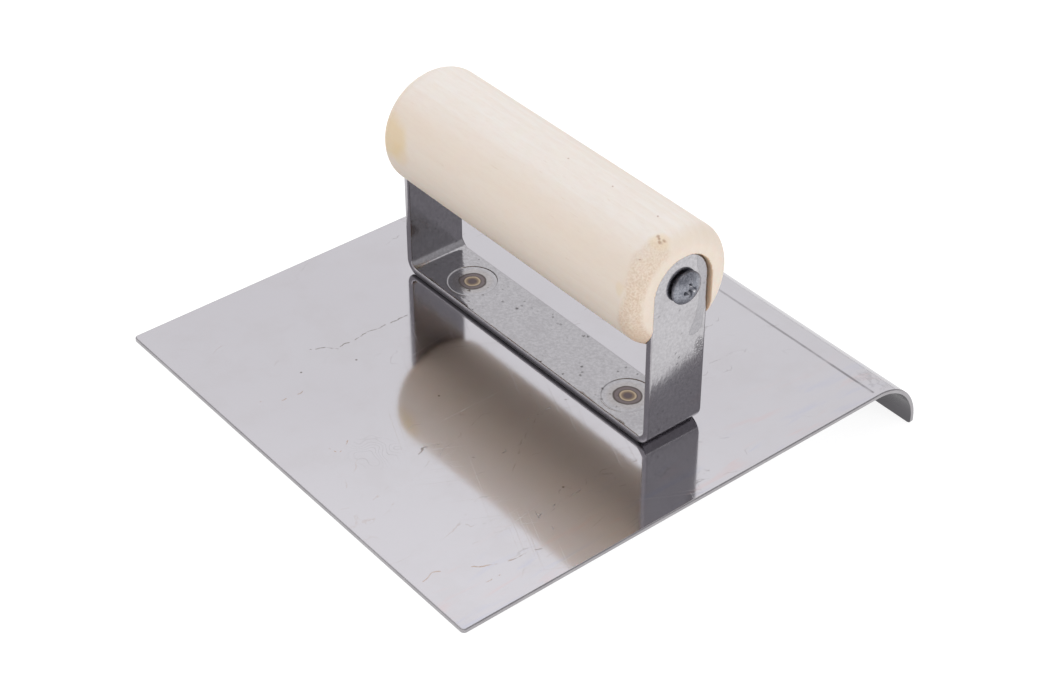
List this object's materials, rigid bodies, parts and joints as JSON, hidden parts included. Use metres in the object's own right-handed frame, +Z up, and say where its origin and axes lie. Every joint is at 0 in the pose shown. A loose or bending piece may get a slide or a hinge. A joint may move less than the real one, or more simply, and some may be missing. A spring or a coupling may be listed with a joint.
{
  "type": "concrete edger",
  "caption": "Hand tool for rounding a slab's edge: sheet blade with a quarter-round lip, welded strap bracket and turned wooden handle.",
  "frame": {"origin": "bottom centre of the whole tool's box, level with the lip's lower edge", "axes": "+X along the handle and the lip, +Y towards the lip, +Z up, away from the slab"},
  "size_m": [0.15, 0.158, 0.0827],
  "materials": {
    "stainless_sheet": "bright rolled stainless sheet with hairline stains",
    "bracket_steel": "mill-finish flat steel, semi-bright, lightly pitted",
    "handle_wood": "pale turned hardwood, unvarnished",
    "screw_zinc": "dull zinc plating",
    "weld_steel": "fused weld metal"
  },
  "bodies": {
    "root": {"blade": "stainless_sheet", "handle_bracket": "bracket_steel", "wooden_handle": "handle_wood", "handle_screw_front": "screw_zinc", "handle_screw_rear": "screw_zinc", "spot_weld_front": "weld_steel", "spot_weld_rear": "weld_steel"}
  },
  "joints": []
}
